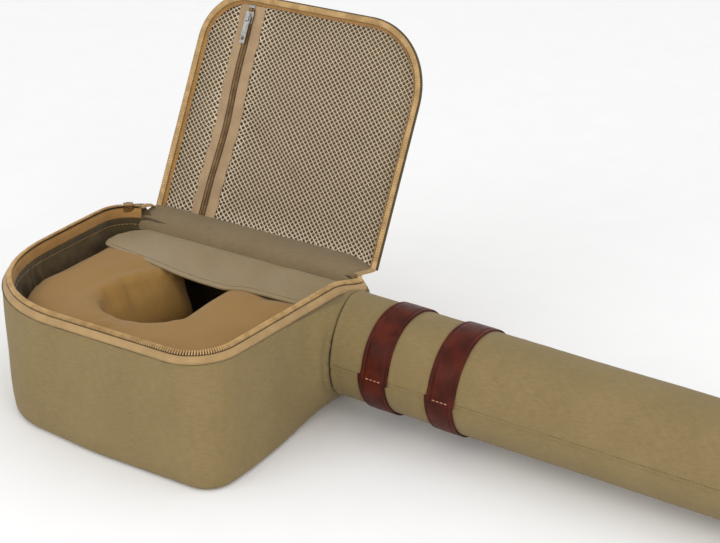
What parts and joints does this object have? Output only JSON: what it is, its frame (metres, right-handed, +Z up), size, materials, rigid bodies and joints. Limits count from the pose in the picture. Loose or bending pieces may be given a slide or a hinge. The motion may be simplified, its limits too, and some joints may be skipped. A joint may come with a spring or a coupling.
{
  "type": "rod case",
  "caption": "Fishing rod and reel case: a zipped canvas reel box with a padded insert and a net lid pocket, on a rigid canvas-covered rod tube with leather bands.",
  "frame": {"origin": "centre of the reel box's base, on the surface that the case stands on", "axes": "+X runs along the tube away from the box, +Y towards the lid hinge at the back of the box, +Z up"},
  "size_m": [0.8398, 0.3131, 0.2703],
  "materials": {
    "canvas": "fine woven khaki canvas, matt",
    "lining": "dark olive lining cloth",
    "flap_cloth": "satin nylon",
    "tape": "ribbed zip tape",
    "facing": "tan binding tape",
    "coil": "nylon zip coil",
    "insert_cloth": "smooth tan cloth over foam",
    "net": "knitted net",
    "leather": "polished reddish brown leather",
    "metal": "nickel plate",
    "bronze": "antique lacquer",
    "foam": "closed-cell foam",
    "plastic": "rigid plastic"
  },
  "bodies": {
    "case": {"wall_canvas": "canvas", "base_canvas": "canvas", "base_board": "plastic", "base_pad": "foam", "wall_foam": "foam", "wall_lining": "lining", "rim_facing": "facing", "rim_binding": "lining", "lower_zip_tape": "tape", "lower_zip_coil": "coil", "back_hinge_strip": "canvas", "neck_facing": "facing", "tube_cover_upper": "canvas", "tube_cover_lower": "canvas", "tube_core": "plastic", "tube_lining": "lining", "tube_end_pad": "foam", "tube_end_board": "plastic", "tube_end_cover": "canvas", "tube_end_piping": "leather", "band_a_upper": "leather", "band_a_lower": "leather", "band_b_upper": "leather", "band_b_lower": "leather", "handle_tab_near": "leather", "handle_tab_far": "leather", "handle_rivets": "metal", "insert_foam": "foam", "insert_cover": "insert_cloth"},
    "flap": {"liner_flap": "flap_cloth"},
    "lid": {"lid_canvas": "canvas", "lid_foam": "foam", "lid_lining": "lining", "lid_back_strip": "canvas", "upper_zip_tape": "facing", "upper_zip_coil": "coil", "mesh_left": "net", "mesh_right": "net", "pocket_tape_left": "tape", "pocket_tape_right": "tape", "pocket_coil_left": "coil", "pocket_coil_right": "coil", "pocket_top_stop": "metal"},
    "pocket_zip_slider": {"pocket_slider": "metal"},
    "pocket_zip_pull": {"pocket_pull": "metal"},
    "box_zip_slider": {"main_slider": "bronze"},
    "box_zip_pull": {"main_pull": "bronze"},
    "carry_handle": {"handle_ring_near": "metal", "handle_ring_far": "metal", "handle_grip": "leather", "handle_core": "leather"}
  },
  "joints": [
    {"name": "lid_hinge", "type": "hinge", "parent": "case", "child": "lid", "pos_m": [0, 0.1034, 0.096], "axis": [-1, 0, 0], "range_deg": [-116, 64]},
    {"name": "flap_hinge", "type": "hinge", "parent": "case", "child": "flap", "pos_m": [0, 0.0944, 0.088], "axis": [-1, 0, 0], "range_deg": [0, 85]},
    {"name": "pocket_zip_travel", "type": "slide", "parent": "lid", "child": "pocket_zip_slider", "axis": [0, -0.4384, -0.8988], "range_m": [0, 0.15]},
    {"name": "pocket_pull_swing", "type": "hinge", "parent": "pocket_zip_slider", "child": "pocket_zip_pull", "pos_m": [-0.058, 0.18882, 0.2506], "axis": [-1, 0, 0], "range_deg": [0, 150]},
    {"name": "box_zip_travel", "type": "hinge", "parent": "case", "child": "box_zip_slider", "pos_m": [-0.09, 0.069, 0.0997], "axis": [0, 0, 1], "range_deg": [0, 45]},
    {"name": "box_pull_swing", "type": "hinge", "parent": "box_zip_slider", "child": "box_zip_pull", "pos_m": [-0.11556, 0.09456, 0.1029], "axis": [0.7071, 0.7071, 0], "range_deg": [0, 170]},
    {"name": "handle_swing", "type": "hinge", "parent": "case", "child": "carry_handle", "pos_m": [0.25147, 0.11035, 0.05144], "axis": [0.9997, 0, -0.0227], "range_deg": [0, 180]}
  ]
}
